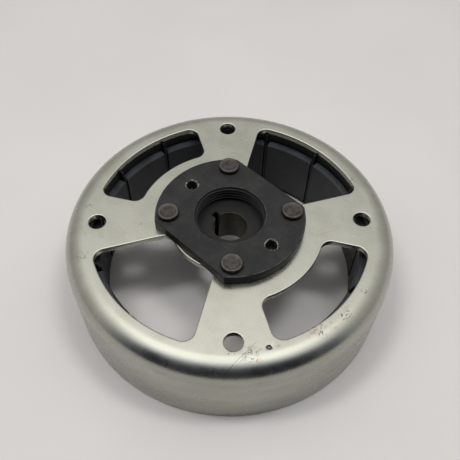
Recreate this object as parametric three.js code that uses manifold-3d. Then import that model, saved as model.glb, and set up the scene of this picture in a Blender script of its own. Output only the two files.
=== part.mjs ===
// Outer-rotor flywheel of a small engine: a pressed steel cup, a turned hub riveted to its closed face,
// and a ring of magnets in a moulded carrier inside the cup.
// Millimetres. +Z is the spin axis, from the open rim (z = 0) towards the closed face of the cup.

import * as THREE from "three";
import { mergeVertices } from "three/addons/utils/BufferGeometryUtils.js";
import Module from "manifold-3d";

// Fits
const CLEARANCE = 0.3; // between pieces that touch
const OVERCUT = 1; // how far a cutting tool runs past the face it cuts

// Pressed cup
const CUP_DIAMETER = 125.3;
const CUP_HEIGHT = 34.4; // open rim to the outer side of the closed face
const SHEET = 2.5;
const BEND_RADIUS = 8.1; // outer side of the bend
const RIM_CHAMFER = 0.5;

// Windows in the closed face, one in each quadrant
const WINDOW_HALF_ANGLE = 29.8; // degrees
const WINDOW_BORDER = 2.25; // from a window's outer arc to the start of the bend
const WINDOW_CORNER = 4; // corner radius
const SHORT_WINDOW_WEB = 7.4; // from the flange's edge to a short window
const DEEP_WINDOW_LIP = 0.9; // from a flat of the flange to a deep window
const SHORT_WINDOW_ANGLES = [135, 315];
const DEEP_WINDOW_ANGLES = [45, 225];

// Bolt holes and punch mark in the closed face
const BOLT_HOLE_DIAMETER = 6.4;
const BOLT_HOLE_INSET = 4.55; // from a hole's centre to the start of the bend
const SPOKE_ANGLES = [0, 90, 180, 270]; // bolt holes and rivets
const MARK_ANGLE = 282.4;
const MARK_INSET = 1.25; // from the mark to the start of the bend
const MARK_RADIUS = 0.7;
const MARK_DEPTH = 0.6;

// Puller recess with its thread, in the outer side of the hub
const THREAD_DIAMETER = 27;
const THREAD_PITCH = 1.5;
const THREAD_DEPTH = 0.8;
const RECESS_DEPTH = 7.7;
const RECESS_RELIEF = 1.7; // unthreaded height at the recess floor
const RECESS_CHAMFER = 0.1; // beyond the thread

// Hub: flange on the closed face, spigot through it, and boss with the tapered bore
const FLANGE_HEIGHT = 4.3; // above the closed face
const FLANGE_FLAT_DEPTH = 6.3; // cut off the flange's edge by each of its two flats
const FLANGE_CHAMFER = 0.5;
const SPIGOT_WALL = 3.5; // round the recess
const SPIGOT_FLOOR = 3.6; // under the recess floor
const BORE_DIAMETER = 13.4; // small end, at the recess floor
const BORE_TAPER = 0.1; // growth in diameter per millimetre of depth
const BORE_LENGTH = 16.6;
const BOSS_WALL = 5.5; // round the big end of the bore
const BOSS_CHAMFER = 0.6;
const KEYWAY_WIDTH = 2.5;
const KEYWAY_DEPTH = 2.2; // beyond the small end of the bore
const KEYWAY_ANGLE = 135;

// Tapped holes in the flange
const TAPPED_DIAMETER = 4.2;
const TAPPED_CHAMFER = 0.55;
const TAPPED_INSET = 6.9; // from the recess wall to a hole's centre
const TAPPED_ANGLES = [135, 315];

// Rivets
const RIVET_SPIGOT_GAP = 1.5; // from the spigot to a formed head
const RIVET_EDGE = 5.1; // from a rivet's centre to the flange's edge
const RIVET_SHANK_DIAMETER = 5.4;
const RIVET_HEAD_DIAMETER = 8;
const RIVET_HEAD_HEIGHT = 1.85;
const RIVET_RIM = 0.9; // flat ring round the dished centre of a head
const RIVET_DISH = 0.25;
const RIVET_FORMED_DIAMETER = 9;
const RIVET_FORMED_HEIGHT = 1.9;
const RIVET_FORMED_BEVEL = 1;

// Magnets and their carrier
const MAGNET_COUNT = 14;
const MAGNET_THICKNESS = 9.85;
const MAGNET_CHAMFER = 0.7;
const FIRST_DIVIDER_ANGLE = 19.1; // degrees
const RIB_WIDTH = 1;
const RIB_SETBACK = 0.5; // of the ribs behind the faces of the magnets
const CROWN_HEIGHT = 3.7; // of the ring between the closed face and the magnets
const CROWN_SETBACK = 2.4; // of that ring behind the faces of the magnets
const CROWN_RIB = 1; // how far a rib stands in front of the top of that ring
const FOOT_HEIGHT = 1; // of the ring at the open end of the magnets
const FOOT_INSET = 0.5; // from that ring to the open rim

// Facets
const CUP_SEGMENTS = 72;
const HUB_SEGMENTS = 48;
const SMALL_SEGMENTS = 16;
const MAGNET_SEGMENTS = 5; // along the arc of one magnet
const CORNER_SEGMENTS = 4; // round a quarter turn

// Radii and levels that follow from the sizes above
const cupOuter = CUP_DIAMETER / 2;
const cupInner = cupOuter - SHEET;
const faceRadius = cupOuter - BEND_RADIUS;
const faceTop = CUP_HEIGHT;
const faceUnder = faceTop - SHEET;
const flangeTop = faceTop + FLANGE_HEIGHT;
const flangeUnder = faceTop + CLEARANCE;
const threadRadius = THREAD_DIAMETER / 2;
const recessFloor = flangeTop - RECESS_DEPTH;
const spigotRadius = threadRadius + SPIGOT_WALL;
const spigotUnder = recessFloor - SPIGOT_FLOOR;
const boreSmall = BORE_DIAMETER / 2;
const boreBig = boreSmall + (BORE_TAPER / 2) * BORE_LENGTH;
const bossRadius = boreBig + BOSS_WALL;
const bossUnder = recessFloor - BORE_LENGTH;
const rivetCircle = spigotRadius + RIVET_SPIGOT_GAP + RIVET_FORMED_DIAMETER / 2;
const flangeRadius = rivetCircle + RIVET_EDGE;
const flatDistance = flangeRadius - FLANGE_FLAT_DEPTH;
const shankRadius = RIVET_SHANK_DIAMETER / 2;
const shankHole = shankRadius + CLEARANCE;
const tappedCircle = threadRadius + TAPPED_INSET;
const magnetOuter = cupInner - CLEARANCE;
const magnetInner = magnetOuter - MAGNET_THICKNESS;
const carrierTop = faceUnder - CLEARANCE;
const magnetTop = carrierTop - CROWN_HEIGHT - CLEARANCE;
const magnetBottom = FOOT_INSET + FOOT_HEIGHT + CLEARANCE;

const zincPlate = new THREE.MeshStandardMaterial({ color: 0xc9cabd, roughness: 0.35, metalness: 0.85 });
const blackOxide = new THREE.MeshStandardMaterial({ color: 0x3c3d3c, roughness: 0.5, metalness: 0.75 });
const rivetSteel = new THREE.MeshStandardMaterial({ color: 0x6f6c66, roughness: 0.45, metalness: 0.8 });
const ferrite = new THREE.MeshStandardMaterial({ color: 0x3d4043, roughness: 0.55, metalness: 0.1 });
const moulding = new THREE.MeshStandardMaterial({ color: 0x16191a, roughness: 0.6, metalness: 0 });

const wasm = await Module();
wasm.setup();

const radians = (degrees) => THREE.MathUtils.degToRad(degrees);

const polar = (radius, degrees) =>
  new THREE.Vector2(radius * Math.cos(radians(degrees)), radius * Math.sin(radians(degrees)));

// Points of an arc, in degrees, from one angle to the other.
function arc(centre, radius, from, to, steps) {
  const points = [];
  for (let i = 0; i <= steps; i++) {
    points.push(polar(radius, from + ((to - from) * i) / steps).add(centre));
  }
  return points;
}

// A closed geometry as a manifold-3d solid.
function solid(geometry) {
  geometry.deleteAttribute("normal");
  geometry.deleteAttribute("uv");
  const merged = mergeVertices(geometry, 1e-4);
  const faces = [];
  for (let i = 0; i < merged.index.count; i += 3) {
    const [a, b, c] = merged.index.array.slice(i, i + 3);
    if (a !== b && b !== c && c !== a) faces.push(a, b, c);
  }
  const vertProperties = merged.attributes.position.array;
  return new wasm.Manifold(new wasm.Mesh({ numProp: 3, vertProperties, triVerts: new Uint32Array(faces) }));
}

// A profile of [radius, z] points, counter-clockwise with the axis on its left, turned about Z.
function turned(profile, segments) {
  const points = [...profile, profile[0]].map(([radius, z]) => new THREE.Vector2(radius, z));
  return solid(new THREE.LatheGeometry(points, segments).rotateX(Math.PI / 2));
}

// An outline in XY, raised from one level to another.
function prism(points, from, to) {
  const options = { depth: to - from, bevelEnabled: false };
  return solid(new THREE.ExtrudeGeometry(new THREE.Shape(points), options).translate(0, 0, from));
}

// A cylinder or cone about Z through a point, raised from one level to another.
function drum(radiusFrom, radiusTo, from, to, centre = new THREE.Vector2()) {
  const geometry = new THREE.CylinderGeometry(radiusTo, radiusFrom, to - from, SMALL_SEGMENTS);
  geometry.rotateX(Math.PI / 2).translate(centre.x, centre.y, (from + to) / 2);
  return solid(geometry);
}

function node(name, shape, material) {
  const { vertProperties, triVerts } = shape.getMesh();
  const geometry = new THREE.BufferGeometry();
  geometry.setAttribute("position", new THREE.BufferAttribute(new Float32Array(vertProperties), 3));
  geometry.setIndex(new THREE.BufferAttribute(new Uint32Array(triVerts), 1));
  geometry.computeVertexNormals();
  const mesh = new THREE.Mesh(geometry, material);
  mesh.name = name;
  return mesh;
}

// A window between two arcs about the axis and two radial sides, with round corners.
function windowOutline(inner, outer, middleAngle) {
  const corner = Math.min(WINDOW_CORNER, 0.45 * (outer - inner));
  const half = WINDOW_HALF_ANGLE;
  const outerTurn = THREE.MathUtils.radToDeg(Math.asin(corner / (outer - corner)));
  const innerTurn = THREE.MathUtils.radToDeg(Math.asin(corner / (inner + corner)));
  const outerEnd = half - outerTurn;
  const innerEnd = half - innerTurn;
  const cornerAt = (radius, angle, from, to) => arc(polar(radius, angle), corner, from, to, CORNER_SEGMENTS);
  const centre = new THREE.Vector2();
  const outline = [
    ...arc(centre, outer, -outerEnd, outerEnd, 2 * CORNER_SEGMENTS),
    ...cornerAt(outer - corner, outerEnd, outerEnd, half + 90).slice(1),
    ...cornerAt(inner + corner, innerEnd, half + 90, innerEnd + 180),
    ...arc(centre, inner, innerEnd, -innerEnd, 2 * CORNER_SEGMENTS).slice(1),
    ...cornerAt(inner + corner, -innerEnd, 180 - innerEnd, 270 - half).slice(1),
    ...cornerAt(outer - corner, -outerEnd, -90 - half, -outerEnd).slice(0, -1),
  ];
  return outline.map((point) => point.rotateAround(centre, radians(middleAngle)));
}

// Outline between one divider and the next, kept clear of both by a gap and with sides parallel to them.
function sectorOutline(inner, outer, gap, dividerAngle) {
  const centre = new THREE.Vector2();
  const next = dividerAngle + 360 / MAGNET_COUNT;
  const turn = (radius) => THREE.MathUtils.radToDeg(Math.asin(gap / radius));
  return [
    ...arc(centre, outer, dividerAngle + turn(outer), next - turn(outer), MAGNET_SEGMENTS),
    ...arc(centre, inner, next - turn(inner), dividerAngle + turn(inner), MAGNET_SEGMENTS),
  ];
}

function rotorCup() {
  const bendCentre = new THREE.Vector2(faceRadius, faceTop - BEND_RADIUS);
  const outerBend = arc(bendCentre, BEND_RADIUS, 0, 90, CORNER_SEGMENTS + 2);
  const innerBend = arc(bendCentre, BEND_RADIUS - SHEET, 90, 0, CORNER_SEGMENTS + 1);
  const centreHole = spigotRadius + CLEARANCE;
  const profile = [
    [cupInner + RIM_CHAMFER, 0],
    [cupOuter - RIM_CHAMFER, 0],
    [cupOuter, RIM_CHAMFER],
    ...outerBend.map((point) => point.toArray()),
    [centreHole, faceTop],
    [centreHole, faceUnder],
    ...innerBend.map((point) => point.toArray()),
    [cupInner, RIM_CHAMFER],
  ];
  let cup = turned(profile, CUP_SEGMENTS);
  const windowOuter = faceRadius - WINDOW_BORDER;
  const cutWindow = (inner, angle) => {
    const outline = windowOutline(inner, windowOuter, angle);
    cup = cup.subtract(prism(outline, faceUnder - OVERCUT, faceTop + OVERCUT));
  };
  SHORT_WINDOW_ANGLES.forEach((angle) => cutWindow(flangeRadius + SHORT_WINDOW_WEB, angle));
  DEEP_WINDOW_ANGLES.forEach((angle) => cutWindow(flatDistance + DEEP_WINDOW_LIP, angle));
  const cutHole = (radius, centre) => {
    cup = cup.subtract(drum(radius, radius, faceUnder - OVERCUT, faceTop + OVERCUT, centre));
  };
  for (const angle of SPOKE_ANGLES) {
    cutHole(BOLT_HOLE_DIAMETER / 2, polar(faceRadius - BOLT_HOLE_INSET, angle));
    cutHole(shankHole, polar(rivetCircle, angle));
  }
  const markCentre = polar(faceRadius - MARK_INSET, MARK_ANGLE);
  return cup.subtract(drum(0, 2 * MARK_RADIUS, faceTop - MARK_DEPTH, faceTop + MARK_DEPTH, markCentre));
}

// The recess wall from its mouth down: chamfer, thread as stacked rings, relief and floor.
function recessProfile() {
  const crest = threadRadius - THREAD_DEPTH;
  const points = [
    [threadRadius + RECESS_CHAMFER, flangeTop],
    [crest, flangeTop - RECESS_CHAMFER - THREAD_DEPTH],
  ];
  const threadEnd = recessFloor + RECESS_RELIEF;
  let level = points[1][1];
  while (level - THREAD_PITCH > threadEnd) {
    points.push([threadRadius, level - THREAD_PITCH / 2], [crest, level - THREAD_PITCH]);
    level -= THREAD_PITCH;
  }
  points.push([threadRadius, threadEnd], [threadRadius, recessFloor]);
  return points;
}

function hub() {
  const profile = [
    [boreBig, bossUnder],
    [bossRadius - BOSS_CHAMFER, bossUnder],
    [bossRadius, bossUnder + BOSS_CHAMFER],
    [bossRadius, spigotUnder],
    [spigotRadius, spigotUnder],
    [spigotRadius, flangeUnder],
    [flangeRadius, flangeUnder],
    [flangeRadius, flangeTop - FLANGE_CHAMFER],
    [flangeRadius - FLANGE_CHAMFER, flangeTop],
    ...recessProfile(),
    [boreSmall, recessFloor],
  ];
  let body = turned(profile, HUB_SEGMENTS);
  const cut = (shape) => {
    body = body.subtract(shape);
  };
  for (const angle of DEEP_WINDOW_ANGLES) {
    const slab = new THREE.BoxGeometry(flangeRadius, 2 * flangeRadius, FLANGE_HEIGHT + 2 * OVERCUT);
    slab.translate(flatDistance + flangeRadius / 2, 0, flangeTop - FLANGE_HEIGHT / 2);
    cut(solid(slab.rotateZ(radians(angle))));
  }
  const keywayReach = boreSmall + KEYWAY_DEPTH;
  const keyway = new THREE.BoxGeometry(keywayReach, KEYWAY_WIDTH, BORE_LENGTH + 2 * OVERCUT);
  keyway.translate(keywayReach / 2, 0, recessFloor - BORE_LENGTH / 2);
  cut(solid(keyway.rotateZ(radians(KEYWAY_ANGLE))));
  for (const angle of SPOKE_ANGLES) {
    cut(drum(shankHole, shankHole, flangeUnder - OVERCUT, flangeTop + OVERCUT, polar(rivetCircle, angle)));
  }
  const tapped = TAPPED_DIAMETER / 2;
  for (const angle of TAPPED_ANGLES) {
    const centre = polar(tappedCircle, angle);
    const chamfer = TAPPED_CHAMFER;
    cut(drum(tapped, tapped, flangeUnder - OVERCUT, flangeTop + OVERCUT, centre));
    cut(drum(tapped, tapped + 2 * chamfer, flangeTop - chamfer, flangeTop + chamfer, centre));
  }
  return body;
}

// A rivet through the flange and the closed face: dished head outside, formed head inside.
function rivet(centre) {
  const headUnder = flangeTop + CLEARANCE;
  const headTop = flangeTop + RIVET_HEAD_HEIGHT;
  const headRadius = RIVET_HEAD_DIAMETER / 2;
  const formedTop = faceUnder - CLEARANCE;
  const formedUnder = formedTop - RIVET_FORMED_HEIGHT;
  const formedRadius = RIVET_FORMED_DIAMETER / 2;
  const profile = [
    [0, formedUnder],
    [formedRadius - RIVET_FORMED_BEVEL, formedUnder],
    [formedRadius, formedUnder + RIVET_FORMED_BEVEL],
    [formedRadius, formedTop],
    [shankRadius, formedTop],
    [shankRadius, headUnder],
    [headRadius, headUnder],
    [headRadius, headTop - RIVET_DISH],
    [headRadius - RIVET_DISH, headTop],
    [headRadius - RIVET_RIM, headTop],
    [headRadius - RIVET_RIM - RIVET_DISH, headTop - RIVET_DISH],
    [0, headTop - RIVET_DISH],
  ];
  return turned(profile, SMALL_SEGMENTS).translate([centre.x, centre.y, 0]);
}

function magnet(dividerAngle) {
  const outline = sectorOutline(magnetInner, magnetOuter, RIB_WIDTH / 2 + CLEARANCE, dividerAngle);
  const chamfer = MAGNET_CHAMFER;
  const geometry = new THREE.ExtrudeGeometry(new THREE.Shape(outline), {
    depth: magnetTop - magnetBottom - 2 * chamfer,
    bevelSize: chamfer,
    bevelThickness: chamfer,
    bevelOffset: -chamfer,
    bevelSegments: 1,
  });
  return solid(geometry.translate(0, 0, magnetBottom + chamfer));
}

// One ring with a pocket for each magnet: a crown under the closed face, ribs, and a foot at the rim.
function magnetCarrier() {
  const ribInner = magnetInner + RIB_SETBACK;
  const crownInner = magnetInner + CROWN_SETBACK;
  const cornerCentre = new THREE.Vector2(faceRadius, faceTop - BEND_RADIUS);
  const corner = arc(cornerCentre, BEND_RADIUS - SHEET - CLEARANCE, 0, 90, CORNER_SEGMENTS);
  const profile = [
    [ribInner, FOOT_INSET],
    [magnetOuter, FOOT_INSET],
    ...corner.map((point) => point.toArray()),
    [crownInner - CROWN_RIB, carrierTop],
    [ribInner, magnetTop],
  ];
  let ring = turned(profile, MAGNET_COUNT * MAGNET_SEGMENTS);
  const pocketFloor = magnetBottom - CLEARANCE;
  const pocketTop = magnetTop + CLEARANCE;
  for (let i = 0; i < MAGNET_COUNT; i++) {
    const divider = FIRST_DIVIDER_ANGLE + (360 / MAGNET_COUNT) * i;
    const cutSector = (outer, from, to) => {
      ring = ring.subtract(prism(sectorOutline(ribInner - OVERCUT, outer, RIB_WIDTH / 2, divider), from, to));
    };
    cutSector(magnetOuter + OVERCUT, pocketFloor, pocketTop);
    cutSector(crownInner, pocketTop - OVERCUT, carrierTop + OVERCUT);
  }
  return ring;
}

const flywheel = new THREE.Group();
flywheel.name = "flywheel";
flywheel.add(node("rotor_cup", rotorCup(), zincPlate));
flywheel.add(node("hub", hub(), blackOxide));
SPOKE_ANGLES.forEach((angle, i) => {
  flywheel.add(node("rivet_" + (i + 1), rivet(polar(rivetCircle, angle)), rivetSteel));
});
flywheel.add(node("magnet_carrier", magnetCarrier(), moulding));
for (let i = 0; i < MAGNET_COUNT; i++) {
  const name = "magnet_" + String(i + 1).padStart(2, "0");
  flywheel.add(node(name, magnet(FIRST_DIVIDER_ANGLE + (360 / MAGNET_COUNT) * i), ferrite));
}

export default flywheel;
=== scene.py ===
"""Looks of the flywheel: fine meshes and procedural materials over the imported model, on a pale floor."""

from math import acos, asin, atan2, cos, hypot, pi, radians, sin

import bmesh
import bpy
from mathutils import Matrix, Vector
from mathutils.geometry import delaunay_2d_cdt


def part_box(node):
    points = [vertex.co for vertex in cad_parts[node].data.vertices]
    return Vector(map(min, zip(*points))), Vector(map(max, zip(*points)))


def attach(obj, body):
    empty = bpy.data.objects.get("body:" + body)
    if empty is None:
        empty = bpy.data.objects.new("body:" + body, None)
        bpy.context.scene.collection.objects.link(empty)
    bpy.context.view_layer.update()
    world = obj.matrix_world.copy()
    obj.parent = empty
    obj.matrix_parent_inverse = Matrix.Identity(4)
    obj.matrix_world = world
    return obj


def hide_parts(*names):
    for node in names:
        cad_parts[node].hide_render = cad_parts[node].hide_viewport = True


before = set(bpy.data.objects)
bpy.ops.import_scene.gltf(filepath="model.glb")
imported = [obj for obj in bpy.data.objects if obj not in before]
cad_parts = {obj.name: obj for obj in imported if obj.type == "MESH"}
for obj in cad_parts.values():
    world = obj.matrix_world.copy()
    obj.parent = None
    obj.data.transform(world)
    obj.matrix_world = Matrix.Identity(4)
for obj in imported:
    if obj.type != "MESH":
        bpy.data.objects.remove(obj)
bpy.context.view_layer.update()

# ---------------------------------------- sizes, in millimetres, with radii for round features
MM = 0.001  # in metres
TOUCH = 0.02  # gap between pieces that touch
FIT = 0.3  # clearance round the magnets and their carrier


def box_mm(node):
    low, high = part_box(node)
    return low / MM, high / MM


cup_low, cup_high = box_mm("rotor_cup")
hub_low, hub_high = box_mm("hub")
ring_low, ring_high = box_mm("magnet_carrier")

CUP_OUTER = (cup_high.x - cup_low.x) / 2
CUP_TOP = cup_high.z
SHEET = 2.5
BEND = 8.1
FACE_EDGE = CUP_OUTER - BEND  # where the flat face ends and the bend starts
FACE_UNDER = CUP_TOP - SHEET
CUP_INNER = CUP_OUTER - SHEET
CENTRE_HOLE = 17.05

WINDOW_HALF = radians(29.8)
WINDOW_OUTER = FACE_EDGE - 2.25
WINDOW_CORNER = 4
SHORT_WINDOWS = (radians(135), radians(315))
DEEP_WINDOWS = (radians(45), radians(225))
SPOKES = tuple(radians(angle) for angle in (0, 90, 180, 270))
BOLT_CIRCLE = FACE_EDGE - 4.55
BOLT_HOLE = 3.2
EDGE_ROLL = ((0.5, 0), (0.3, 0.04), (0.13, 0.11), (0.04, 0.2), (0, 0.34))  # a punched edge's inset and drop
EDGE_BREAK = 0.12  # how far a punched edge breaks outwards on the other side
MARK_PLACE = (FACE_EDGE - 1.25, radians(282.4))
MARK_SIZE = (1.05, 0.72)
MARK_TURN = radians(65)  # of its long axis, from the radius
MARK_PROFILE = ((1.25, 0), (1.05, 0.06), (0.9, 0.3), (0.6, 0.48))  # share of its size, and depth
MARK_DEPTH = 0.5

FLANGE_TOP = hub_high.z
FLANGE_UNDER = CUP_TOP + TOUCH
FLANGE = 28.1
FLAT = FLANGE - 6.3
SHORT_WINDOW_INNER = FLANGE + 7.4
DEEP_WINDOW_INNER = FLAT + 0.9
THREAD = 13.5
THREAD_PITCH = 1.5
THREAD_DEPTH = 0.85
THREAD_MOUTH = THREAD + 0.15
RECESS_FLOOR = FLANGE_TOP - 7.7
THREAD_END = RECESS_FLOOR + 1.5
SPIGOT = 17
SPIGOT_UNDER = RECESS_FLOOR - 3.6
BORE_SMALL = 6.7
BORE_BIG = 7.53
BOSS = BORE_BIG + 5.5
BOSS_UNDER = hub_low.z
KEYWAY_ANGLE = radians(135)
KEYWAY_HALF = 1.25
KEYWAY_REACH = BORE_SMALL + 2.2
TAPPED_CIRCLE = THREAD + 6.9
TAPPED_THREAD = 2.5
TAPPED_PITCH = 0.8
TAPPED_DEPTH = 0.4
TAPPED_MOUTH = 2.7
SHANK = 2.7
RIVET_HOLE = SHANK + 0.05
RIVET_CIRCLE = FLANGE - 5.1

MAGNETS = 14
MAGNET_PITCH = 2 * pi / MAGNETS
FIRST_DIVIDER = radians(19.1)
MAGNET_OUTER = CUP_INNER - FIT
MAGNET_INNER = MAGNET_OUTER - 9.85
RIB_HALF = 0.5
MAGNET_GAP = RIB_HALF + FIT
CROWN_INNER = MAGNET_INNER + 2.4
RIB_INNER = MAGNET_INNER + 0.5

# Counts of points, round a circle and along a thread
ROUND = 280  # the cup, the recess and the carrier
BODY_ROUND = 192  # the spigot and the boss
CENTRE_ROUND = 96  # the cup's middle hole, and the floor
RIVET_ROUND = 72
BOLT_ROUND = 48
TAPPED_ROUND = 40
SHANK_ROUND = 24  # the holes for the rivets
THREAD_ROWS = 10  # in one pitch

# ---------------------------------------------------------------- looks, light and camera, in metres
ZINC = 0.445  # reflectance of the plated steel
ZINC_ROUGH = 0.27

TENT = 1.5  # brightness of the tent's walls, as the pieces see them
TENT_SEEN = 0.65  # brightness that the camera sees instead
TENT_RAMP = (  # height of a direction, from 0 to 1, and brightness of the wall there as a share of TENT
    (0, 0.31),
    (0.38, 0.36),
    (0.6, 0.45),
    (0.7, 0.54),
    (0.79, 0.68),
    (0.87, 0.88),
    (0.92, 1.15),
    (0.97, 1.45),
)
TENT_TOP = 1.35  # the same at height 1
WALL_TINT = (1.0, 0.985, 0.955)
OPENING_TINT = (0.85, 0.95, 1.3)
OPENING_SHADE = 0.95  # share of the light that the opening at the front takes away

LEFT_LAMP = (-0.22, -0.01, 0.7)
RIGHT_LAMP = (0.19, 0.0, 0.72)
LAMP_SIZE = (0.1, 0.19)
LAMP_RADIANCE = 34  # for diffuse rays only
GLOW_SIZE = (0.24, 0.24)
GLOW_RADIANCE = 0.5  # for glossy rays only

FLOOR_RADIUS = 2500  # in millimetres
CAMERA_ELEVATION = radians(52.07)
CAMERA_AZIMUTH = radians(-2.23)
CAMERA_ROLL = radians(-1.233)
CAMERA_TILT = radians(0.975)
CAMERA_DISTANCE = 0.21476  # from the middle of the closed face
CAMERA_SENSOR = 36  # in millimetres
CAMERA_LENS = 44.51  # in millimetres


# ---------------------------------------------------------------- mesh building
def at(radius, angle, z=0.0):
    return Vector((radius * cos(angle), radius * sin(angle), z))


def spread(first, last, steps):
    return [first + (last - first) * i / steps for i in range(steps + 1)]


def circle(radius, z, steps=ROUND, centre=Vector((0, 0, 0))):
    return [centre + at(radius, 2 * pi * i / steps, z) for i in range(steps)]


def inside(point, loop):
    """Whether a point lies in a closed outline, by counting the edges to its right."""
    x, y = point
    crossings = 0
    for a, b in zip(loop, loop[1:] + loop[:1]):
        if (a[1] > y) != (b[1] > y) and x < a[0] + (b[0] - a[0]) * (y - a[1]) / (b[1] - a[1]):
            crossings += 1
    return crossings % 2 == 1


class Skin:
    """A closed surface built from loops of points, in millimetres."""

    def __init__(self):
        self.points = []
        self.faces = []

    def loop(self, points):
        start = len(self.points)
        self.points.extend(points)
        return list(range(start, len(self.points)))

    def join(self, loops):
        """A band of faces between each loop and the next."""
        for first, second in zip(loops, loops[1:]):
            for a, b, c, d in zip(first, first[1:] + first[:1], second[1:] + second[:1], second):
                self.faces.append((a, b, c, d))

    def close(self, loop, tip):
        """A fan of faces from a loop to one point."""
        end = self.loop([tip])[0]
        for a, b in zip(loop, loop[1:] + loop[:1]):
            self.faces.append((a, b, end))

    def cover(self, outer, holes=()):
        """A flat face inside one loop and outside the others."""
        rings = [outer, *holes]
        index = [i for ring in rings for i in ring]
        edges = []
        for ring in rings:
            start = len(edges)
            edges += [(start + i, start + (i + 1) % len(ring)) for i in range(len(ring))]
        flat = [self.points[i].to_2d() for i in index]
        outlines = [[self.points[i].to_2d() for i in ring] for ring in rings]
        corners, _, faces, origin, _, _ = delaunay_2d_cdt(flat, edges, [], 0, 1e-6)
        for face in faces:
            middle = sum((corners[i] for i in face), Vector((0, 0))) / len(face)
            if inside(middle, outlines[0]) and not any(inside(middle, hole) for hole in outlines[1:]):
                self.faces.append([index[origin[i][0]] for i in face])

    def mesh(self, name):
        mesh = bpy.data.meshes.new(name)
        mesh.from_pydata([point * MM for point in self.points], [], self.faces)
        work = bmesh.new()
        work.from_mesh(mesh)
        bmesh.ops.remove_doubles(work, verts=work.verts, dist=1e-7)
        bmesh.ops.dissolve_degenerate(work, edges=work.edges, dist=1e-8)
        bmesh.ops.recalc_face_normals(work, faces=work.faces)
        work.to_mesh(mesh)
        work.free()
        return mesh


def piece(name, mesh, look, nodes, crease=35):
    """An object in the scene that stands for CAD nodes, shaded smooth up to a crease angle in degrees."""
    made = bpy.data.objects.new(name, mesh)
    bpy.context.scene.collection.objects.link(made)
    mesh.shade_smooth()
    mesh.set_sharp_from_angle(angle=radians(crease))
    weighted = made.modifiers.new("even_shading", "WEIGHTED_NORMAL")
    weighted.keep_sharp = True
    mesh.materials.append(look)
    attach(made, "root")
    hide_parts(*nodes)


# ---------------------------------------------------------------- cup
def arc_outline(centre, radius, first, last, steps, outward=1):
    """Points of an arc with their directions into the metal round a hole."""
    angles = spread(first, last, steps)
    return [(centre + at(radius, angle), at(outward, angle)) for angle in angles]


def window_outline(inner, middle):
    """A window's outline: two arcs about the axis, two radial sides and four round corners."""
    outer_steps, corner_steps, inner_steps = 44, 12, 30
    corner = WINDOW_CORNER
    centre = Vector((0, 0, 0))
    far = WINDOW_OUTER - corner
    near = inner + corner
    far_end = WINDOW_HALF - asin(corner / far)
    near_end = WINDOW_HALF - asin(corner / near)
    turned_side = WINDOW_HALF + pi / 2
    outline = [
        *arc_outline(centre, WINDOW_OUTER, -far_end, far_end, outer_steps),
        *arc_outline(at(far, far_end), corner, far_end, turned_side, corner_steps)[1:],
        *arc_outline(at(near, near_end), corner, turned_side, near_end + pi, corner_steps),
        *arc_outline(centre, inner, near_end, -near_end, inner_steps, -1)[1:],
        *arc_outline(at(near, -near_end), corner, pi - near_end, 1.5 * pi - WINDOW_HALF, corner_steps)[1:],
        *arc_outline(at(far, -far_end), corner, -turned_side, -far_end, corner_steps)[:-1],
    ]
    spin = Matrix.Rotation(middle, 3, "Z")
    return [(spin @ point, spin @ way) for point, way in outline]


def hole_outline(centre, radius, steps=BOLT_ROUND):
    return arc_outline(centre, radius, 0, 2 * pi, steps)[:-1]


def punched_edge(skin, outline):
    """The rolled, sheared and broken edge of one punched hole, as its top and bottom loops."""
    rows = [(inset, CUP_TOP - drop) for inset, drop in EDGE_ROLL]
    rows.append((0.01, FACE_UNDER + 0.45 * SHEET))
    rows.append((0.05, FACE_UNDER + 0.38 * SHEET))
    rows.append((EDGE_BREAK, FACE_UNDER + 0.12))
    rows.append((EDGE_BREAK + 0.12, FACE_UNDER))
    loops = []
    for inset, z in rows:
        loops.append(skin.loop([point + way * inset + Vector((0, 0, z)) for point, way in outline]))
    skin.join(loops)
    return loops[0], loops[-1]


def punch_mark(skin):
    """A small oval blind dent beside one window, as its top loop."""
    radius, angle = MARK_PLACE
    spin = Matrix.Rotation(angle + MARK_TURN, 3, "Z")
    centre = at(radius, angle)
    loops = []
    for scale, depth in MARK_PROFILE:
        oval = []
        for turn in spread(0, 2 * pi, 24)[:-1]:
            reach = Vector((MARK_SIZE[0] * scale * cos(turn), MARK_SIZE[1] * scale * sin(turn), 0))
            oval.append(centre + spin @ reach + Vector((0, 0, CUP_TOP - depth)))
        loops.append(skin.loop(oval))
    skin.join(loops)
    skin.close(loops[-1], centre + Vector((0, 0, CUP_TOP - MARK_DEPTH)))
    return loops[0]


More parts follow.
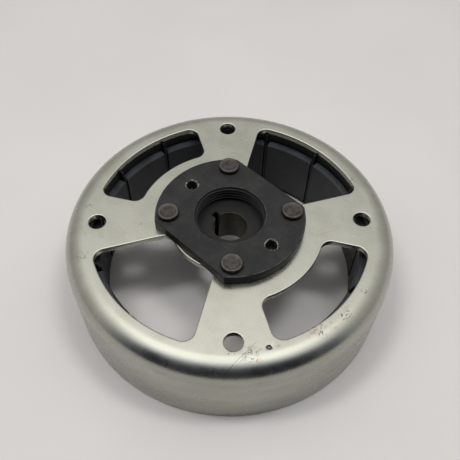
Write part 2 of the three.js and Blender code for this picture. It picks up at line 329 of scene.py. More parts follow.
def make_cup():
    skin = Skin()
    profile = []
    for turn in spread(pi / 2, 0, 18):
        profile.append((FACE_EDGE + BEND * cos(turn), CUP_TOP - BEND + BEND * sin(turn)))
    profile += [(CUP_OUTER, z) for z in (20, 14, 8, 3, 1, 0.5)]
    profile += [(CUP_OUTER - 0.12, 0.14), (CUP_OUTER - 0.45, 0)]
    profile += [(CUP_INNER + 0.45, 0), (CUP_INNER + 0.12, 0.14)]
    profile += [(CUP_INNER, z) for z in (0.5, 1.5, 12)]
    inner_bend = BEND - SHEET
    for turn in spread(0, pi / 2, 12):
        profile.append((FACE_EDGE + inner_bend * cos(turn), CUP_TOP - BEND + inner_bend * sin(turn)))
    skirt = [skin.loop(circle(radius, z)) for radius, z in profile]
    skin.join(skirt)
    outlines = [window_outline(SHORT_WINDOW_INNER, middle) for middle in SHORT_WINDOWS]
    outlines += [window_outline(DEEP_WINDOW_INNER, middle) for middle in DEEP_WINDOWS]
    outlines += [hole_outline(at(BOLT_CIRCLE, angle), BOLT_HOLE) for angle in SPOKES]
    outlines += [hole_outline(at(RIVET_CIRCLE, angle), RIVET_HOLE, SHANK_ROUND) for angle in SPOKES]
    outlines.append(hole_outline(Vector((0, 0, 0)), CENTRE_HOLE, CENTRE_ROUND))
    edges = [punched_edge(skin, outline) for outline in outlines]
    skin.cover(skirt[0], [*(top for top, _ in edges), punch_mark(skin)])
    skin.cover(skirt[-1], [under for _, under in edges])
    return skin.mesh("pressed_cup")


# ---------------------------------------------------------------- hub
def flange_outline(radius, flat, z):
    """The flange's outline, a circle with two flats, always with the same count of points."""
    half = acos(flat / radius)
    points = []
    for middle in DEEP_WINDOWS:
        ends = at(radius, middle - half, z), at(radius, middle + half, z)
        points += [ends[0].lerp(ends[1], step) for step in spread(0, 1, 24)[:-1]]
        points += [at(radius, angle, z) for angle in spread(middle + half, middle + pi - half, 72)[:-1]]
    return points


def bore_outline(radius, z):
    """The bore's outline with its keyway."""
    half = asin(KEYWAY_HALF / radius)
    points = [at(radius, KEYWAY_ANGLE + angle, z) for angle in spread(half, 2 * pi - half, 90)]
    reach = hypot(KEYWAY_REACH, KEYWAY_HALF)
    turn = atan2(KEYWAY_HALF, KEYWAY_REACH)
    points += [at(reach, KEYWAY_ANGLE - turn, z), at(reach, KEYWAY_ANGLE + turn, z)]
    return points


def threaded_wall(skin, radius, pitch, depth, top, bottom, mouth, steps, centre=Vector((0, 0, 0))):
    """An inside thread of one start, with its root at radius and a chamfer from mouth, as its end loops."""
    ridge_half = 0.44  # of a pitch
    ridge_cut = 1.15  # a ridge this much too high is cut flat at its depth
    rows = round((top - bottom) / pitch * THREAD_ROWS)
    loops = []
    for z in spread(top, bottom, rows):
        chamfer = mouth - (top - z)
        points = []
        for i in range(steps):
            phase = (z / pitch - i / steps) % 1
            ridge = max(0, 1 - abs(phase - 0.5) / ridge_half)
            wall = radius - depth * min(1, ridge * ridge_cut)
            points.append(centre + at(max(wall, chamfer), 2 * pi * i / steps, z))
        loops.append(skin.loop(points))
    skin.join(loops)
    return loops[0], loops[-1]


def make_hub():
    skin = Skin()
    flange_rows = [
        (FLANGE - 0.6, FLAT - 0.16, FLANGE_TOP),
        (FLANGE - 0.5, FLAT - 0.1, FLANGE_TOP - 0.05),
        (FLANGE - 0.07, FLAT - 0.02, FLANGE_TOP - 0.48),
        (FLANGE, FLAT, FLANGE_TOP - 0.6),
        (FLANGE, FLAT, FLANGE_UNDER + 0.35),
        (FLANGE - 0.3, FLAT - 0.12, FLANGE_UNDER),
    ]
    flange = [skin.loop(flange_outline(*row)) for row in flange_rows]
    skin.join(flange)
    body_rows = [
        (SPIGOT, FLANGE_UNDER),
        (SPIGOT, SPIGOT_UNDER + 0.6),
        (SPIGOT - 0.15, SPIGOT_UNDER + 0.2),
        (SPIGOT - 0.6, SPIGOT_UNDER),
        (BOSS + 1, SPIGOT_UNDER),
        (BOSS + 0.3, SPIGOT_UNDER - 0.3),
        (BOSS, SPIGOT_UNDER - 1),
        (BOSS, BOSS_UNDER + 0.7),
        (BOSS - 0.1, BOSS_UNDER + 0.5),
        (BOSS - 0.6, BOSS_UNDER),
    ]
    body = [skin.loop(circle(radius, z, BODY_ROUND)) for radius, z in body_rows]
    skin.join(body)
    bore_rows = [
        (BORE_BIG + 0.35, BOSS_UNDER),
        (BORE_BIG, BOSS_UNDER + 0.35),
        (BORE_SMALL, RECESS_FLOOR - 0.3),
        (BORE_SMALL + 0.3, RECESS_FLOOR),
    ]
    bore = [skin.loop(bore_outline(*row)) for row in bore_rows]
    skin.join(bore)
    thread = threaded_wall(
        skin, THREAD, THREAD_PITCH, THREAD_DEPTH, FLANGE_TOP, THREAD_END, THREAD_MOUTH, ROUND
    )
    relief_rows = [
        (THREAD + 0.02, THREAD_END - 0.1),
        (THREAD + 0.02, RECESS_FLOOR + 0.3),
        (THREAD - 0.28, RECESS_FLOOR),
    ]
    relief = [skin.loop(circle(radius, z)) for radius, z in relief_rows]
    skin.join([thread[1], *relief])
    top_holes = [thread[0]]
    under_holes = [body[0]]
    for angle in SHORT_WINDOWS:
        place = at(TAPPED_CIRCLE, angle)
        mouth, end = threaded_wall(
            skin, TAPPED_THREAD, TAPPED_PITCH, TAPPED_DEPTH,
            FLANGE_TOP, FLANGE_UNDER, TAPPED_MOUTH, TAPPED_ROUND, place,
        )
        top_holes.append(mouth)
        under_holes.append(end)
    for angle in SPOKES:
        place = at(RIVET_CIRCLE, angle)
        ends = [skin.loop(circle(RIVET_HOLE, z, SHANK_ROUND, place)) for z in (FLANGE_TOP, FLANGE_UNDER)]
        skin.join(ends)
        top_holes.append(ends[0])
        under_holes.append(ends[1])
    skin.cover(flange[0], top_holes)
    skin.cover(flange[-1], under_holes)
    skin.cover(body[-1], [bore[0]])
    skin.cover(relief[-1], [bore[-1]])
    return skin.mesh("turned_hub")


# ---------------------------------------------------------------- rivets
HEAD_PROFILE = (  # radius and height over the flange, from the middle of the head to its underside
    (0.7, 1.6),
    (1.5, 1.56),
    (2.2, 1.5),
    (2.65, 1.56),
    (3.0, 1.74),
    (3.3, 1.83),
    (3.6, 1.79),
    (3.85, 1.6),
    (3.97, 1.3),
    (3.98, 0.4),
    (3.85, 0.12),
    (3.6, TOUCH),
)
HEAD_MIDDLE = 1.62  # height of the middle of the head
FORMED_PROFILE = (  # radius and depth under the closed face
    (4.35, TOUCH),
    (4.48, 0.2),
    (4.5, 0.7),
    (4.3, 1.2),
    (3.7, 1.6),
    (2.5, 1.85),
    (1.2, 1.92),
)
FORMED_MIDDLE = 1.95  # depth of the middle of the formed end


def make_rivet(centre):
    skin = Skin()
    rows = [(radius, FLANGE_TOP + height) for radius, height in HEAD_PROFILE]
    rows += [(SHANK, FLANGE_TOP + TOUCH), (SHANK, FACE_UNDER - TOUCH)]
    rows += [(radius, FACE_UNDER - depth) for radius, depth in FORMED_PROFILE]
    loops = [skin.loop(circle(radius, z, RIVET_ROUND, centre)) for radius, z in rows]
    skin.join(loops)
    skin.close(loops[0], centre + Vector((0, 0, FLANGE_TOP + HEAD_MIDDLE)))
    skin.close(loops[-1], centre + Vector((0, 0, FACE_UNDER - FORMED_MIDDLE)))
    return skin.mesh("rivet")


# ---------------------------------------------------------------- magnets and carrier
def sector(inner, outer, gap, divider, z, steps=18):
    """Outline between one divider and the next, with sides parallel to them at a gap."""
    ends = [(radius, asin(gap / radius)) for radius in (outer, inner)]
    points = []
    for (radius, turn), way in zip(ends, (1, -1)):
        angles = spread(divider + turn, divider + MAGNET_PITCH - turn, steps)[::way]
        points += [at(radius, angle, z) for angle in angles]
    return points


def make_magnet(divider, low, high):
    skin = Skin()
    rows = [
        (MAGNET_INNER + 0.55, MAGNET_OUTER - 0.5, MAGNET_GAP + 0.35, low),
        (MAGNET_INNER, MAGNET_OUTER, MAGNET_GAP, low + 0.55),
        (MAGNET_INNER, MAGNET_OUTER, MAGNET_GAP, (low + high) / 2),
        (MAGNET_INNER, MAGNET_OUTER, MAGNET_GAP, high - 0.75),
        (MAGNET_INNER + 0.8, MAGNET_OUTER - 0.5, MAGNET_GAP + 0.35, high),
    ]
    loops = []
    for inner, outer, gap, z in rows:
        loops.append(skin.loop(sector(inner, outer, gap, divider, z)))
    skin.join(loops)
    skin.cover(loops[0])
    skin.cover(loops[-1])
    return skin.mesh("magnet")


def cut(target, cutters):
    """Takes the cutters out of a mesh, all of them at once."""
    body = bpy.data.objects.new("blank", target)
    tool = bpy.data.objects.new("tool", cutters)
    for thing in (body, tool):
        bpy.context.scene.collection.objects.link(thing)
    boolean = body.modifiers.new("cut", "BOOLEAN")
    boolean.operation = "DIFFERENCE"
    boolean.solver = "EXACT"
    boolean.object = tool
    bpy.context.view_layer.update()
    result = bpy.data.meshes.new_from_object(body.evaluated_get(bpy.context.evaluated_depsgraph_get()))
    bpy.data.objects.remove(body)
    bpy.data.objects.remove(tool)
    return result


def pockets(outer, low, high):
    """Cutters for the carrier, one between each divider and the next."""
    skin = Skin()
    for i in range(MAGNETS):
        divider = FIRST_DIVIDER + MAGNET_PITCH * i
        ends = [skin.loop(sector(RIB_INNER - 2, outer, RIB_HALF, divider, z)) for z in (low, high)]
        skin.join(ends)
        skin.cover(ends[0])
        skin.cover(ends[1])
    return skin.mesh("pockets")


def make_carrier(magnet_low, magnet_high):
    skin = Skin()
    foot = ring_low.z
    top = ring_high.z
    rows = [(RIB_INNER + 0.25, foot), (MAGNET_OUTER - 0.3, foot), (MAGNET_OUTER, foot + 0.3)]
    corner = BEND - SHEET - FIT
    for turn in spread(0, pi / 2, 10):
        rows.append((FACE_EDGE + corner * cos(turn), top - corner + corner * sin(turn)))
    rows += [(CROWN_INNER - 0.9, top), (CROWN_INNER - 1.1, top - 0.2), (RIB_INNER, magnet_high)]
    rows += [(RIB_INNER, foot + 0.25)]
    loops = [skin.loop(circle(radius, z)) for radius, z in rows]
    skin.join([*loops, loops[0]])
    blank = skin.mesh("carrier")
    gap = MAGNET_GAP - RIB_HALF
    blank = cut(blank, pockets(MAGNET_OUTER + 2, magnet_low - gap, magnet_high + gap))
    return cut(blank, pockets(CROWN_INNER, magnet_high - 1, top + 2))


# ---------------------------------------------------------------- materials
class Graph:
    """A node tree whose inputs are written as expressions of nodes."""

    def __init__(self, tree):
        self.nodes = tree.nodes
        self.links = tree.links

    def add(self, kind, inputs, output=0, **settings):
        made = self.nodes.new("ShaderNode" + kind)
        for name, value in settings.items():
            setattr(made, name, value)
        for key, value in inputs.items():
            self.feed(made.inputs[key], value)
        return made.outputs[output]

    def feed(self, socket, value):
        if isinstance(value, bpy.types.NodeSocket):
            self.links.new(value, socket)
        elif socket.type == "RGBA" and len(value) == 3:
            socket.default_value = (*value, 1)
        else:
            socket.default_value = value

    def sum(self, first, second):
        return self.add("Math", {0: first, 1: second}, operation="ADD")

    def less(self, first, second):
        return self.add("Math", {0: first, 1: second}, operation="SUBTRACT")

    def times(self, first, second):
        return self.add("Math", {0: first, 1: second}, operation="MULTIPLY")

    def between(self, value, low, high, first=0.0, last=1.0):
        """A smooth step of a value between two limits."""
        inputs = {"Value": value, "From Min": low, "From Max": high, "To Min": first, "To Max": last}
        return self.add("MapRange", inputs, interpolation_type="SMOOTHSTEP")

    def blend(self, share, first, second):
        """A mix of two colours; the Mix node's sockets for them are 6 and 7, and output 2."""
        return self.add("Mix", {0: share, 6: first, 7: second}, 2, data_type="RGBA")


class Look(Graph):
    """A material with a Principled shader."""

    def __init__(self, name, **uniform):
        self.material = bpy.data.materials.new(name)
        self.material.use_nodes = True
        super().__init__(self.material.node_tree)
        self.shader = self.nodes["Principled BSDF"]
        self.place = self.nodes.new("ShaderNodeTexCoord").outputs["Object"]
        for socket, value in uniform.items():
            self.shader.inputs[socket.replace("_", " ")].default_value = value

    def finish(self, **inputs):
        for socket, value in inputs.items():
            self.feed(self.shader.inputs[socket.replace("_", " ")], value)
        return self.material

    def height(self):
        return self.add("SeparateXYZ", {"Vector": self.place}, output="Z")

    def radius(self):
        flat = self.add("VectorMath", {0: self.place, 1: (1, 1, 0)}, operation="MULTIPLY")
        return self.add("VectorMath", {0: flat}, output="Value", operation="LENGTH")

    def distance(self, point):
        """Metres from a point in millimetres."""
        inputs = {0: self.place, 1: point * MM}
        return self.add("VectorMath", inputs, output="Value", operation="DISTANCE")

    def band(self, length, low, high, first=0.0, last=1.0):
        """A smooth step of a length in metres between two limits in millimetres."""
        return self.between(length, low * MM, high * MM, first, last)

    def near(self, point, low, high):
        """1 near a point in millimetres, falling to 0 between two distances."""
        return self.band(self.distance(point), low, high, 1.0, 0.0)

    def total(self, values):
        """The sum of several values, added as they come."""
        result = None
        for value in values:
            result = value if result is None else self.sum(result, value)
        return result

    def spots(self, places, core):
        """1 within a share of the size of each place on the closed face, falling to 0 at its size."""
        return self.total(
            self.near(at(radius, radians(angle), CUP_TOP), size * core, size)
            for radius, angle, size in places
        )

    def line(self, point, turn, half):
        """1 on an upright plane through a point, turned by degrees, and 0 from half millimetres away."""
        across = Vector((-sin(radians(turn)), cos(radians(turn)), 0))
        inputs = {0: self.place, 1: across}
        along = self.add("VectorMath", inputs, output="Value", operation="DOT_PRODUCT")
        offset = self.less(along, across.dot(point) * MM)
        away = self.add("Math", {0: offset}, operation="ABSOLUTE")
        return self.band(away, 0.4 * half, half, 1, 0)

    def stretched(self, scale, turn=0.0):
        """Positions turned about the axis, then scaled, in turns of the pattern per metre."""
        turned = self.add("Mapping", {"Vector": self.place, "Rotation": (0, 0, turn)})
        return self.add("Mapping", {"Vector": turned, "Scale": scale})

    def noise(self, vector, scale=1.0, detail=3.0, roughness=0.55):
        inputs = {"Vector": vector, "Scale": scale, "Detail": detail, "Roughness": roughness}
        return self.add("TexNoise", inputs)

    def scratches(self, turn, density, share):
        """Thin straight scratches in one direction: 1 on a scratch."""
        lines = self.noise(self.stretched((160, 9000, 160), turn), 1.0, 2.0)
        patches = self.noise(self.stretched((density, density * 2, density), turn + 1), 1.0, 2.0)
        line = self.between(lines, 0.66, 0.72)
        return self.times(line, self.between(patches, 1 - share, 1.15 - share))

    def bump(self, height, depth, under=None):
        """A bump of a height from 0 to 1, depth millimetres deep, on top of another bump."""
        inputs = {"Height": height, "Distance": depth * MM, "Strength": 1.0}
        if under is not None:
            inputs["Normal"] = under
        return self.add("Bump", inputs)


SCUFFS = (  # radius, angle in degrees and size of each patch of dark grit on the cup
    (54.8, -84.5, 4.2),
    (53.5, -91, 2.4),
    (54.6, -58, 3.4),
    (55.5, -47, 3.2),
    (55.5, -34, 2.2),
    (55.8, 196, 3.0),
    (54.5, 172, 2.0),
    (53, 22, 2.4),
)
SCRATCHES = (  # middle, direction in degrees, half width and reach of each single scratch
    (Vector((1.8, -55.6, CUP_TOP - 0.5)), 44, 0.16, 9.5),
    (Vector((3.6, -54.9, CUP_TOP)), 50, 0.1, 4.5),
    (Vector((5.2, -54.0, CUP_TOP)), 41, 0.09, 4.0),
    (Vector((38.5, -38.5, CUP_TOP)), 60, 0.09, 2.6),
    (Vector((-47, 14, CUP_TOP)), 150, 0.06, 5.0),
    (Vector((36, -6, CUP_TOP)), 20, 0.05, 6.0),
)
RUST = (  # radius, angle in degrees and size of each rusty spot
    (53.4, -80.6, 1.1),
    (53.3, -74.6, 1.5),
    (57.0, -82, 1.6),
    (53.6, -61, 3.6),
    (55.6, -53, 2.6),
    (33.6, 182, 1.2),
    (54.5, 186, 1.5),
    (50.5, 68, 1.4),
)


def zinc_tone(*tint):
    return [ZINC * part for part in tint]


def zinc_plate():
    look = Look("zinc_plate", Metallic=1.0)
    blotch = look.noise(look.place, 90, 5, 0.6)
    fine = look.noise(look.place, 900, 4, 0.6)
    drawn = look.noise(look.stretched((30, 30, 2600)), 1.0, 4.0)
    dull, bright = zinc_tone(0.95, 0.955, 0.83), zinc_tone(1.05, 1.055, 0.945)
    colour = look.blend(look.between(blotch, 0.35, 0.65), dull, bright)
    colour = look.blend(look.between(fine, 0.3, 0.75, 0, 0.2), colour, zinc_tone(0.86, 0.865, 0.74))
    marks = look.scratches(0.3, 60, 0.52)
    for turn in (1.1, 2.0, 2.7):
        marks = look.sum(marks, look.scratches(turn, 60, 0.48))
    colour = look.blend(look.times(marks, 0.35), colour, (0.42, 0.42, 0.38))
    specks = look.between(look.noise(look.place, 1300, 2, 0.5), 0.73, 0.78)
    colour = look.blend(look.times(specks, 0.6), colour, (0.2, 0.19, 0.16))
    # painted shade: the side wall is darkened in vertical streaks, for the dim reflection of the shaded floor
    wall = look.band(look.height(), CUP_TOP - BEND, CUP_TOP - 0.45 * BEND, 1, 0)
    streaky_wall_shade = look.between(look.noise(look.stretched((25, 25, 160)), 1.0, 4.0), 0.3, 0.75, 0.2, 0.65)
    colour = look.blend(look.times(wall, streaky_wall_shade), colour, (0.25, 0.255, 0.205))
    grit = look.between(look.noise(look.stretched((1200, 2300, 1500), -0.8), 1.0, 3.0), 0.54, 0.62)
    # more painted shade on the side wall, in patches
    patchy_wall_shade = look.between(look.noise(look.stretched((110, 110, 620)), 1.0, 4.0, 0.65), 0.56, 0.7)
    colour = look.blend(look.times(look.times(wall, patchy_wall_shade), 0.5), colour, (0.19, 0.2, 0.145))
    gritty = look.spots(SCUFFS, 0.3)
    colour = look.blend(look.times(look.times(gritty, grit), 0.85), colour, (0.05, 0.05, 0.05))
    for place, turn, half, reach in SCRATCHES:
        line = look.times(look.line(place, turn, half), look.near(place, reach * 0.6, reach))
        broken = look.between(look.noise(look.place, 1400, 3, 0.6), 0.35, 0.6, 0.35, 1.0)
        colour = look.blend(look.times(look.times(line, broken), 0.9), colour, (0.12, 0.12, 0.115))
    dent = look.near(at(*MARK_PLACE, CUP_TOP - 0.3), 0.75, 1.15)
    colour = look.blend(dent, colour, (0.115, 0.122, 0.13))
    rust = look.between(look.noise(look.place, 620, 4, 0.65), 0.42, 0.68)
    rusty = look.spots(RUST, 0.2)
    colour = look.blend(look.times(look.times(rusty, rust), 0.62), colour, (0.30, 0.20, 0.105))
    roughness = look.between(blotch, 0.3, 0.7, ZINC_ROUGH - 0.05, ZINC_ROUGH + 0.05)
    roughness = look.sum(roughness, look.times(marks, 0.04))
    relief = look.bump(fine, 0.0006)
    relief = look.bump(drawn, 0.0025, relief)
    relief = look.bump(look.times(marks, -1.0), 0.001, relief)
    return look.finish(Base_Color=colour, Roughness=roughness, Normal=relief)


def chipped_ring(look, height, angle):
    """1 on the ragged bare ring round a tapped hole, down to about 0.9 mm under the flange's top."""
    away = look.distance(at(TAPPED_CIRCLE, angle, FLANGE_TOP))
    ragged = look.sum(away, look.times(look.noise(look.place, 1500, 3, 0.6), 0.9 * MM))
    deep = look.band(height, FLANGE_TOP - 1.1, FLANGE_TOP - 0.7, 10 * MM, 0)
    return look.band(look.sum(ragged, deep), 2.95, 3.15, 1, 0)


def black_oxide():
    look = Look("black_oxide", Metallic=0.0, Specular_IOR_Level=0.1)
    radius = look.radius()
    height = look.height()
    blotch = look.noise(look.place, 120, 5, 0.6)
    cloud = look.noise(look.place, 420, 5, 0.65)
    grain = look.noise(look.place, 1600, 3, 0.6)
    turned = look.noise(look.add("CombineXYZ", {"X": radius, "Z": height}), 5200, 2, 0.5)
    colour = look.blend(look.between(blotch, 0.35, 0.7), (0.0165, 0.0164, 0.0167), (0.0245, 0.0241, 0.0237))
    colour = look.blend(look.between(cloud, 0.5, 0.72, 0, 0.7), colour, (0.0132, 0.0135, 0.0141))
    marks = look.scratches(0.8, 70, 0.5)
    for turn in (2.2, 1.5, 2.9):
        marks = look.sum(marks, look.scratches(turn, 70, 0.5))
    colour = look.blend(look.times(marks, 0.6), colour, (0.085, 0.085, 0.085))
    # painted highlight: a lighter, patchy ring along the flange's top chamfer
    edge = look.band(height, FLANGE_TOP - 0.42, FLANGE_TOP - 0.3)
    edge_highlight = look.times(edge, look.band(height, FLANGE_TOP - 0.1, FLANGE_TOP - 0.02, 1, 0))
    edge_highlight = look.times(edge_highlight, look.between(cloud, 0.35, 0.6, 0.1, 0.8))
    colour = look.blend(edge_highlight, colour, (0.07, 0.07, 0.07))
    # painted shade: the flange's side and all below the top face get a near-black colour with vertical
    # streaks, for the dark reflections there
    below = look.band(height, FLANGE_TOP - 0.65, FLANGE_TOP - 0.42, 1, 0)
    streaks = look.noise(look.stretched((900, 900, 40)), 1.0, 3.0)
    dark = look.blend(look.between(streaks, 0.35, 0.7), (0.0025, 0.0025, 0.0025), (0.0065, 0.0065, 0.0063))
    colour = look.blend(below, colour, dark)
    # painted highlight: lighter thread crests in the recess, for the lit flanks of the thread
    crest = look.band(radius, THREAD - 0.7 * THREAD_DEPTH, THREAD - 0.45 * THREAD_DEPTH, 1, 0)
    crest = look.times(crest, look.band(height, THREAD_END, THREAD_END + 0.2))
    colour = look.blend(look.times(look.times(crest, below), 0.45), colour, (0.04, 0.04, 0.038))
    recess_floor = look.band(height, RECESS_FLOOR + 0.1, RECESS_FLOOR + 0.3, 1, 0)
    recess_floor = look.times(recess_floor, look.band(height, SPIGOT_UNDER, RECESS_FLOOR))
    colour = look.blend(recess_floor, colour, (0.0135, 0.0133, 0.0132))
    in_bore = look.band(radius, BORE_BIG + 0.2, BORE_BIG + 0.35, 1, 0)
    in_bore = look.times(in_bore, look.band(height, RECESS_FLOOR - 0.3, RECESS_FLOOR, 1, 0))
    ground = look.noise(look.stretched((300, 300, 2500)), 1.0, 3.0)
    brown = look.blend(look.between(ground, 0.3, 0.7), (0.07, 0.064, 0.050), (0.115, 0.105, 0.085))
    colour = look.blend(in_bore, colour, brown)
    chipped = look.total(chipped_ring(look, height, angle) for angle in SHORT_WINDOWS)
    bright = look.between(look.noise(look.place, 1100, 3, 0.6), 0.38, 0.6)
    bare = look.blend(bright, (0.05, 0.042, 0.036), (0.42, 0.405, 0.38))
    colour = look.blend(chipped, colour, bare)
    metal = look.sum(look.times(chipped, 0.7), look.times(in_bore, 0.55))
    roughness = look.between(blotch, 0.3, 0.7, 0.42, 0.55)
    roughness = look.sum(roughness, look.times(look.sum(below, chipped), -0.15))
    relief = look.bump(grain, 0.006)
    relief = look.bump(turned, 0.004, relief)
    relief = look.bump(cloud, 0.01, relief)
    return look.finish(Base_Color=colour, Metallic=metal, Roughness=roughness, Normal=relief)


def rivet_steel():
    look = Look("rivet_steel", Metallic=0.8)
    height = look.height()
    blotch = look.noise(look.place, 420, 5, 0.65)
    grain = look.noise(look.place, 2400, 3, 0.6)
    colour = look.blend(look.between(blotch, 0.35, 0.65), (0.036, 0.032, 0.029), (0.075, 0.067, 0.062))
    stain = look.between(look.noise(look.place, 700, 3, 0.6), 0.55, 0.7)
    colour = look.blend(look.times(stain, 0.5), colour, (0.085, 0.055, 0.04))
    # painted highlight: a lighter, patchy ring on the head's raised rim
    crown = look.band(height, FLANGE_TOP + 1.66, FLANGE_TOP + 1.8)
    edge_highlight = look.times(crown, look.between(blotch, 0.35, 0.6, 0.3, 1.0))
    colour = look.blend(edge_highlight, colour, (0.095, 0.087, 0.081))
    # painted shade: the side of the head is darkened
    side = look.band(height, FLANGE_TOP + 0.9, FLANGE_TOP + 1.45, 1, 0)
    colour = look.blend(look.times(side, 0.85), colour, (0.012, 0.0115, 0.011))
    roughness = look.between(blotch, 0.3, 0.7, 0.34, 0.5)
    relief = look.bump(blotch, 0.05)
    relief = look.bump(grain, 0.008, relief)
    return look.finish(Base_Color=colour, Roughness=roughness, Normal=relief)


def ferrite():
    look = Look("ferrite", Metallic=0.0, Specular_IOR_Level=0.3)
    blotch = look.noise(look.place, 160, 5, 0.6)
    grain = look.noise(look.place, 2600, 3, 0.6)
    ground = look.noise(look.stretched((1500, 1500, 60)), 1.0, 3.0)
    colour = look.blend(look.between(blotch, 0.3, 0.7), (0.018, 0.0192, 0.0225), (0.030, 0.0318, 0.0355))
    colour = look.blend(look.between(ground, 0.6, 0.8, 0, 0.5), colour, (0.055, 0.057, 0.06))
    roughness = look.between(blotch, 0.3, 0.7, 0.4, 0.55)
    relief = look.bump(grain, 0.02)
    relief = look.bump(ground, 0.008, relief)
    return look.finish(Base_Color=colour, Roughness=roughness, Normal=relief)


def carrier_plastic():
    look = Look("carrier_plastic", Metallic=0.0, Specular_IOR_Level=0.25)
    flow = look.noise(look.stretched((60, 60, 400)), 1.0, 4.0)
    grain = look.noise(look.place, 1900, 3, 0.6)
    colour = look.blend(look.between(flow, 0.35, 0.65), (0.0035, 0.0042, 0.0042), (0.0075, 0.0085, 0.0082))
    roughness = look.between(flow, 0.3, 0.7, 0.32, 0.46)
    relief = look.bump(grain, 0.01)
    relief = look.bump(flow, 0.03, relief)
    return look.finish(Base_Color=colour, Roughness=roughness, Normal=relief)


def paper():
    look = Look("pale_floor", Metallic=0.0, Specular_IOR_Level=0.3)
    mottle = look.noise(look.place, 12, 4, 0.5)
    grain = look.noise(look.place, 2200, 3, 0.6)
    colour = look.blend(look.between(mottle, 0.35, 0.65), (0.422, 0.409, 0.398), (0.437, 0.4235, 0.4125))
    relief = look.bump(grain, 0.01)
    return look.finish(Base_Color=colour, Roughness=0.55, Normal=relief)


# ---------------------------------------------------------------- pieces
zinc = zinc_plate()
oxide = black_oxide()
steel = rivet_steel()
magnet_look = ferrite()
plastic = carrier_plastic()

piece("pressed_cup", make_cup(), zinc, ["rotor_cup"])
piece("turned_hub", make_hub(), oxide, ["hub"], crease=28)
for number in range(1, 5):
    low, high = box_mm(f"rivet_{number}")
    centre = (low + high) / 2
    centre.z = 0
    piece(f"hub_rivet_{number}", make_rivet(centre), steel, [f"rivet_{number}"])
magnet_low, magnet_high = box_mm("magnet_01")
for number in range(1, MAGNETS + 1):
    divider = FIRST_DIVIDER + MAGNET_PITCH * (number - 1)
    shape = make_magnet(divider, magnet_low.z, magnet_high.z)
    name = f"{number:02d}"
    piece("arc_magnet_" + name, shape, magnet_look, ["magnet_" + name], crease=25)
ring = make_carrier(magnet_low.z, magnet_high.z)
piece("carrier", ring, plastic, ["magnet_carrier"], crease=25)


# ---------------------------------------------------------------- floor, light and camera
def make_floor():
    skin = Skin()
    rim = skin.loop(circle(FLOOR_RADIUS, 0, CENTRE_ROUND))
    skin.close(rim, Vector((0, 0, 0)))
    floor = bpy.data.objects.new("floor", skin.mesh("floor"))
    bpy.context.scene.collection.objects.link(floor)
    floor.data.materials.append(paper())


def softbox(name, place, size, radiance, mirrored=False):
    """A rectangular lamp that faces the flywheel, for glossy rays only if mirrored, else for diffuse ones."""
    light = bpy.data.lights.new(name, "AREA")
    light.shape = "RECTANGLE"
    light.size, light.size_y = size
    light.energy = radiance * pi * size[0] * size[1]
    lamp = bpy.data.objects.new(name, light)
    bpy.context.scene.collection.objects.link(lamp)
    lamp.location = place
    lamp.rotation_mode = "QUATERNION"
    lamp.rotation_quaternion = Vector(place).to_track_quat("Z", "Y")
    lamp.visible_camera = False
    lamp.visible_glossy = mirrored
    lamp.visible_diffuse = not mirrored


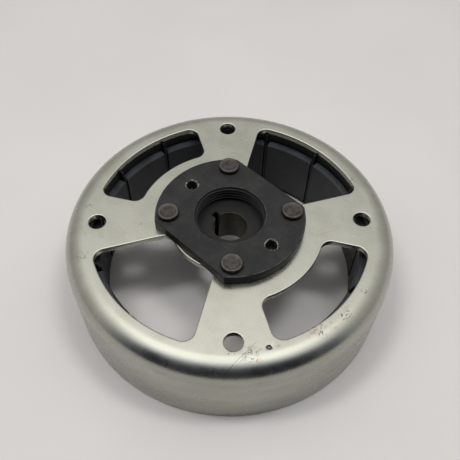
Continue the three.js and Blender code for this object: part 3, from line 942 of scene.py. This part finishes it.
def make_sky():
    """A light tent: pale walls, brighter towards the top, with a dark opening at the front."""
    world = bpy.data.worlds.new("tent")
    bpy.context.scene.world = world
    world.use_nodes = True
    sky = Graph(world.node_tree)
    background = sky.nodes["Background"]
    way = sky.add("TexCoord", {}, "Generated")
    level = sky.add("SeparateXYZ", {"Vector": way}, "Z")
    flat = sky.add("VectorMath", {0: way, 1: (1, 1, 0)}, operation="MULTIPLY")
    heading = sky.add("VectorMath", {0: flat}, operation="NORMALIZE")
    front = sky.add("VectorMath", {0: heading, 1: (0, -1, 0)}, "Value", operation="DOT_PRODUCT")
    stretched = sky.add("Mapping", {"Vector": way, "Location": (0.06, 0, 0), "Scale": (0.85, 1.1, 1)})
    direction = sky.add("VectorMath", {0: stretched}, operation="NORMALIZE")
    height = sky.add("SeparateXYZ", {"Vector": direction}, "Z")
    ramp = sky.nodes.new("ShaderNodeValToRGB")
    sky.feed(ramp.inputs["Fac"], height)
    stops = ramp.color_ramp.elements
    for place, bright in TENT_RAMP:
        stops.new(place).color = (bright * TENT, bright * TENT, bright * TENT, 1)
    stops.remove(stops[0])
    stops[-1].color = (TENT_TOP * TENT, TENT_TOP * TENT, TENT_TOP * TENT, 1)
    aside = sky.less(1.0, front)
    rise = sky.add("Math", {0: aside, 1: 0.3, 2: level}, operation="MULTIPLY_ADD")
    opening = sky.times(sky.between(front, 0.2, 0.7), sky.between(rise, 0.7, 1.06, 1, 0))
    shade = sky.less(1.0, sky.times(opening, OPENING_SHADE))
    tent = sky.times(ramp.outputs["Color"], shade)
    seen = sky.add("LightPath", {}, "Is Camera Ray")
    sky.feed(background.inputs["Strength"], sky.add("Mix", {0: seen, 2: tent, 3: TENT_SEEN}))
    sky.feed(background.inputs["Color"], sky.blend(opening, WALL_TINT, OPENING_TINT))


def make_camera():
    """The photograph's view: down on the closed face from the front."""
    elevation, azimuth = CAMERA_ELEVATION, CAMERA_AZIMUTH
    back = Vector((sin(azimuth) * cos(elevation), -cos(azimuth) * cos(elevation), sin(elevation)))
    right = Vector((cos(azimuth), sin(azimuth), 0))
    axes = Matrix((right, back.cross(right), back))
    aim = Matrix.Rotation(CAMERA_ROLL, 3, "Z") @ Matrix.Rotation(CAMERA_TILT, 3, "X")
    data = bpy.data.cameras.new("camera")
    data.sensor_width = CAMERA_SENSOR
    data.lens = CAMERA_LENS
    data.clip_start = 0.01
    camera = bpy.data.objects.new("camera", data)
    bpy.context.scene.collection.objects.link(camera)
    place = Vector((0, 0, CUP_TOP * MM)) + back * CAMERA_DISTANCE
    camera.matrix_world = Matrix.Translation(place) @ (aim @ axes).transposed().to_4x4()
    bpy.context.scene.camera = camera


make_floor()
make_sky()
softbox("left_lamp", LEFT_LAMP, LAMP_SIZE, LAMP_RADIANCE)
softbox("right_lamp", RIGHT_LAMP, LAMP_SIZE, LAMP_RADIANCE)
softbox("left_glow", LEFT_LAMP, GLOW_SIZE, GLOW_RADIANCE, mirrored=True)
softbox("right_glow", RIGHT_LAMP, GLOW_SIZE, GLOW_RADIANCE, mirrored=True)
make_camera()
bpy.context.scene.view_settings.view_transform = "Standard"
